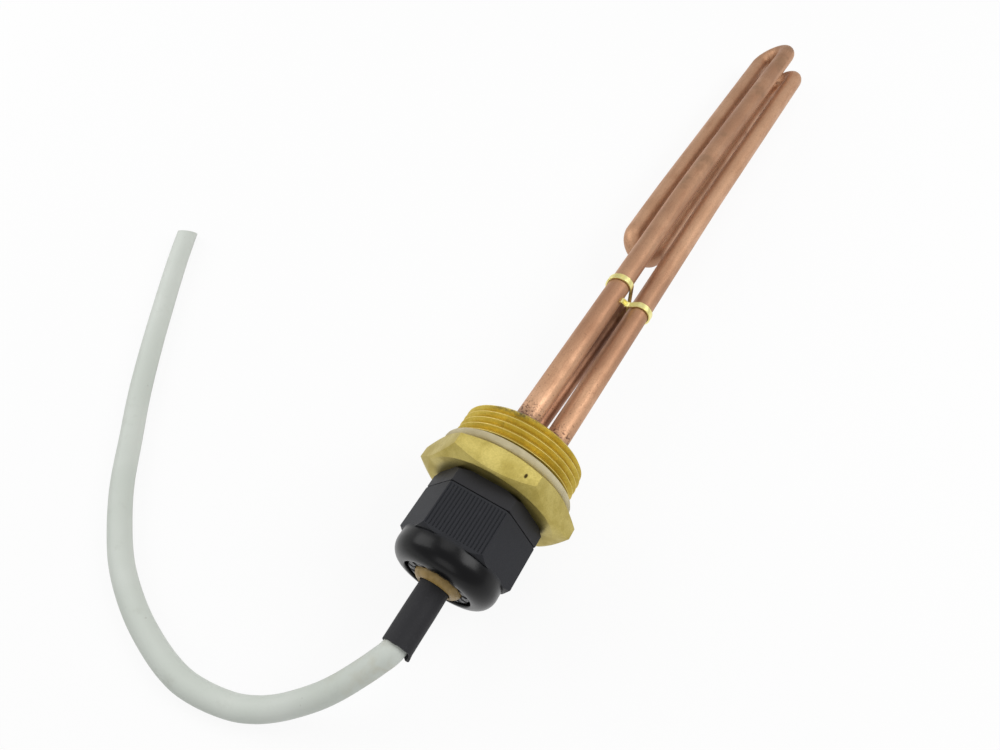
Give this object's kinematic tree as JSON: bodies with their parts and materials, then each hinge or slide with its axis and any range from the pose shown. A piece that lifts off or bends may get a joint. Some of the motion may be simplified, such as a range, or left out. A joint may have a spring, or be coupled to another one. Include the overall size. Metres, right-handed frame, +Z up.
{
  "type": "screw plug immersion heater",
  "caption": "Electric immersion heater: a hexagon brass screw plug carrying a folded copper tube element, with a plastic cable gland and a short supply cable.",
  "frame": {"origin": "on the plug's thread axis, in the plane where the gasket meets the vessel", "axes": "+X along the thread towards the element tips, +Z up from the surface the heater lies on"},
  "size_m": [0.3816, 0.2032, 0.0461],
  "materials": {
    "plug_brass": "machined, dull",
    "gasket_fibre": "matte",
    "sheath_copper": "drawn copper, mottled",
    "magnesia": "packed powder",
    "coil_wire": "resistance wire",
    "pin_steel": "drawn",
    "end_seal_rubber": "silicone",
    "tinned_metal": "tinned",
    "core_brown": "matte",
    "core_blue": "matte",
    "core_green": "matte",
    "pocket_copper": "drawn copper, dull",
    "lead_white": "matte",
    "clip_brass": "rolled strip, bright",
    "gland_nylon": "moulded, satin",
    "seal_rubber": "matte",
    "sleeve_plastic": "shrunk, satin",
    "cable_jacket": "extruded, matte"
  },
  "bodies": {
    "heater": {"screw_plug": "plug_brass", "flange_gasket": "gasket_fibre", "element_sheath": "sheath_copper", "magnesia_fill": "magnesia", "resistance_coil": "coil_wire", "terminal_pin_a": "pin_steel", "terminal_pin_b": "pin_steel", "end_seal_a": "end_seal_rubber", "end_seal_b": "end_seal_rubber", "crimp_a": "tinned_metal", "crimp_b": "tinned_metal", "core_live": "core_brown", "core_neutral": "core_blue", "core_earth": "core_green", "earth_tag": "tinned_metal", "sensor_pocket": "pocket_copper", "sensor_capsule": "tinned_metal", "sensor_lead": "lead_white", "leg_clip": "clip_brass", "gland_body": "gland_nylon", "shrink_sleeve": "sleeve_plastic", "supply_cable": "cable_jacket"},
    "clamp_insert": {"gland_claw": "gland_nylon", "gland_seal": "seal_rubber"},
    "cap_nut": {"gland_cap_nut": "gland_nylon"}
  },
  "joints": [
    {"name": "nut_travel", "type": "slide", "parent": "heater", "child": "clamp_insert", "axis": [-1, 0, 0], "range_m": [0, 0.008]},
    {"name": "nut_turn", "type": "hinge", "parent": "clamp_insert", "child": "cap_nut", "pos_m": [-0.03, 0, 0], "axis": [-1, 0, 0], "range_deg": [0, 1440]}
  ],
  "couplings": [
    {"joint": "nut_turn", "follows": "nut_travel", "rad_per_m": 3141.6}
  ]
}
